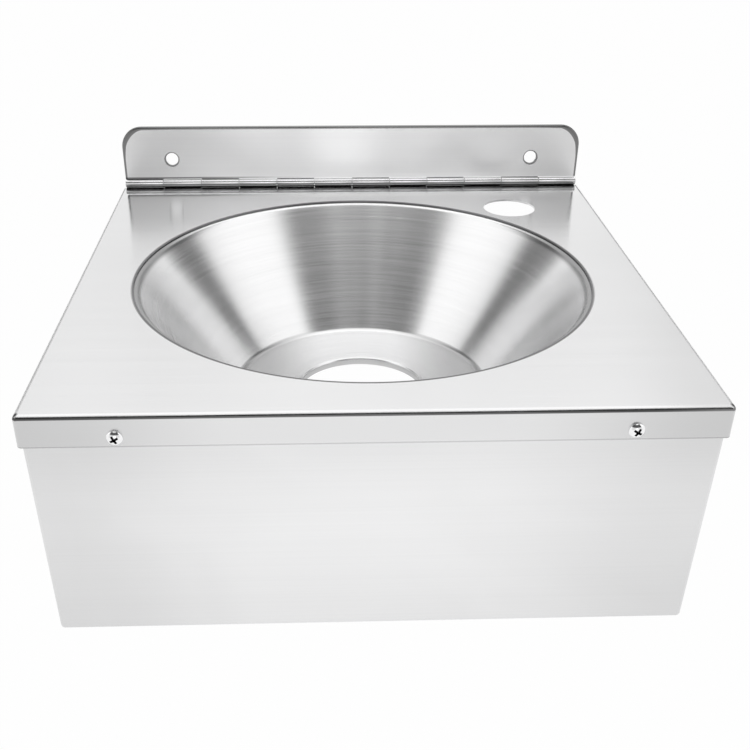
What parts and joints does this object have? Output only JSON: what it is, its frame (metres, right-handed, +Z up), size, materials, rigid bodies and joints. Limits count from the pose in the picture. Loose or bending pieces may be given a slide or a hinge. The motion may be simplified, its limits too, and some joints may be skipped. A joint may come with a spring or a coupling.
{
  "type": "stainless steel hand wash sink",
  "caption": "Wall-hung square hand wash sink: round conical bowl in a folded deck, screwed-on shroud, and a hinged wall plate along the back.",
  "frame": {"origin": "on the wall, midway between the two wall-screw holes of the wall plate; the deck surface is 20.5 mm below it", "axes": "+X to the user's right, +Y into the wall, +Z up"},
  "size_m": [0.34, 0.3427, 0.176],
  "materials": {
    "deck_steel": "satin, straight grain from side to side",
    "bowl_steel": "spun, fine circular grain",
    "shroud_steel": "satin, straight grain from side to side",
    "plate_steel": "satin, straight grain from side to side",
    "hinge_steel": "bright rolled",
    "pin_steel": "drawn wire",
    "screw_steel": "bright",
    "nut_steel": "bright turned"
  },
  "bodies": {
    "wall_side": {"wall_plate": "plate_steel", "hinge_wall_leaf": "hinge_steel", "hinge_pin": "pin_steel"},
    "basin": {"deck": "deck_steel", "bowl": "bowl_steel", "shroud": "shroud_steel", "hinge_deck_leaf": "hinge_steel", "shroud_screw_left": "screw_steel", "shroud_screw_right": "screw_steel", "rivet_nut_left": "nut_steel", "rivet_nut_right": "nut_steel"}
  },
  "joints": [
    {"name": "basin_fold", "type": "hinge", "parent": "wall_side", "child": "basin", "pos_m": [0, -0.00275, -0.01745], "axis": [-1, 0, 0], "range_deg": [0, 90]}
  ]
}
